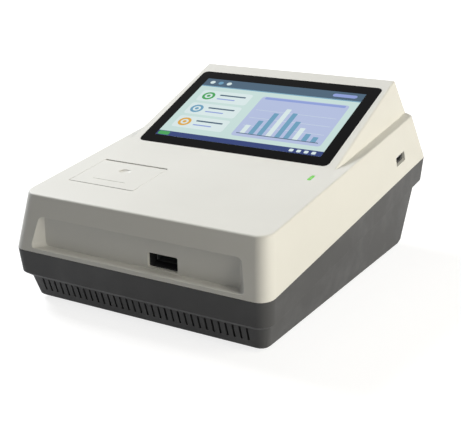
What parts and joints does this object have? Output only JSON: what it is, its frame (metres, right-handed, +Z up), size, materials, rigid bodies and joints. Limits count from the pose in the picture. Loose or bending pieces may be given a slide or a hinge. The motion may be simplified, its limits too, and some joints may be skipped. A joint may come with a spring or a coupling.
{
  "type": "immunoassay analyzer",
  "caption": "Bench-top test card analyzer with a leaning display, a front card port with a motor-driven tray, and a label printer under a flush lid.",
  "frame": {"origin": "middle of the footprint, on the surface that the feet stand on", "axes": "+Z up, the front with the card port faces -Y, +X is the right-hand side seen from the front"},
  "size_m": [0.22, 0.2954, 0.1481],
  "materials": {
    "white_plastic": "fine satin texture",
    "dark_plastic": "fine satin texture",
    "black_plastic": "matte",
    "grey_plastic": "matte",
    "glass_black": "gloss",
    "panel": "satin",
    "green_lens": "gloss",
    "steel": "ground",
    "sheet_steel": "plated",
    "brass": "turned",
    "aluminium": "satin",
    "rubber": "matte",
    "board": "solder mask",
    "copper": "wound",
    "ceramic": "glazed"
  },
  "bodies": {
    "case": {"upper_housing": "white_plastic", "lower_base": "dark_plastic", "foot_front_left": "rubber", "foot_rear_left": "rubber", "foot_front_right": "rubber", "foot_rear_right": "rubber", "display_glass": "glass_black", "lcd_panel": "panel", "display_bracket": "sheet_steel", "display_board": "board", "status_lens": "green_lens", "status_board": "board", "lid_hinge_pin": "steel", "paper_well": "black_plastic", "printer_frame": "sheet_steel", "print_head": "ceramic", "tear_bar": "steel", "printer_motor": "steel", "port_bezel": "black_plastic", "reader_chassis": "sheet_steel", "guide_rod_left": "steel", "guide_rod_right": "steel", "screw_bush": "brass", "stepper_motor": "steel", "sensor_bridge": "aluminium", "sensor_head": "steel", "sensor_board": "board", "side_data_port": "steel", "side_port_surround": "black_plastic", "side_port_board": "board", "main_board": "board", "supply_board": "board", "heat_sink": "aluminium", "rear_data_ports": "steel", "network_port": "steel", "supply_transformer": "copper", "supply_capacitor": "black_plastic", "mains_inlet": "black_plastic", "switch_frame": "black_plastic", "fan_frame": "black_plastic", "speaker": "black_plastic"},
    "printer_lid": {"printer_lid": "white_plastic"},
    "platen": {"platen_roller": "rubber", "platen_gear": "grey_plastic"},
    "tray": {"card_tray": "grey_plastic", "screw_nut": "brass"},
    "screw": {"lead_screw": "steel"},
    "fan": {"fan_rotor": "black_plastic"},
    "rocker": {"power_rocker": "black_plastic"}
  },
  "joints": [
    {"name": "lid_hinge", "type": "hinge", "parent": "case", "child": "printer_lid", "pos_m": [-0.0562, -0.10246, 0.0858], "axis": [1, 0, 0], "range_deg": [0, 65]},
    {"name": "platen_spin", "type": "hinge", "parent": "printer_lid", "child": "platen", "pos_m": [-0.0562, -0.06507, 0.08731], "axis": [1, 0, 0], "continuous": true},
    {"name": "tray_slide", "type": "slide", "parent": "case", "child": "tray", "axis": [0, 1, 0], "range_m": [0, 0.048]},
    {"name": "screw_spin", "type": "hinge", "parent": "case", "child": "screw", "pos_m": [0.0218, -0.1367, 0.0415], "axis": [0, 1, 0], "range_deg": [-4320, 0]},
    {"name": "fan_spin", "type": "hinge", "parent": "case", "child": "fan", "pos_m": [-0.009, 0.1101, 0.0289], "axis": [0, 1, 0], "continuous": true},
    {"name": "rocker_tip", "type": "hinge", "parent": "case", "child": "rocker", "pos_m": [0.028, 0.1137, 0.0285], "axis": [1, 0, 0], "range_deg": [-16, 0]}
  ],
  "couplings": [
    {"joint": "screw_spin", "follows": "tray_slide", "rad_per_m": -1570.8}
  ]
}
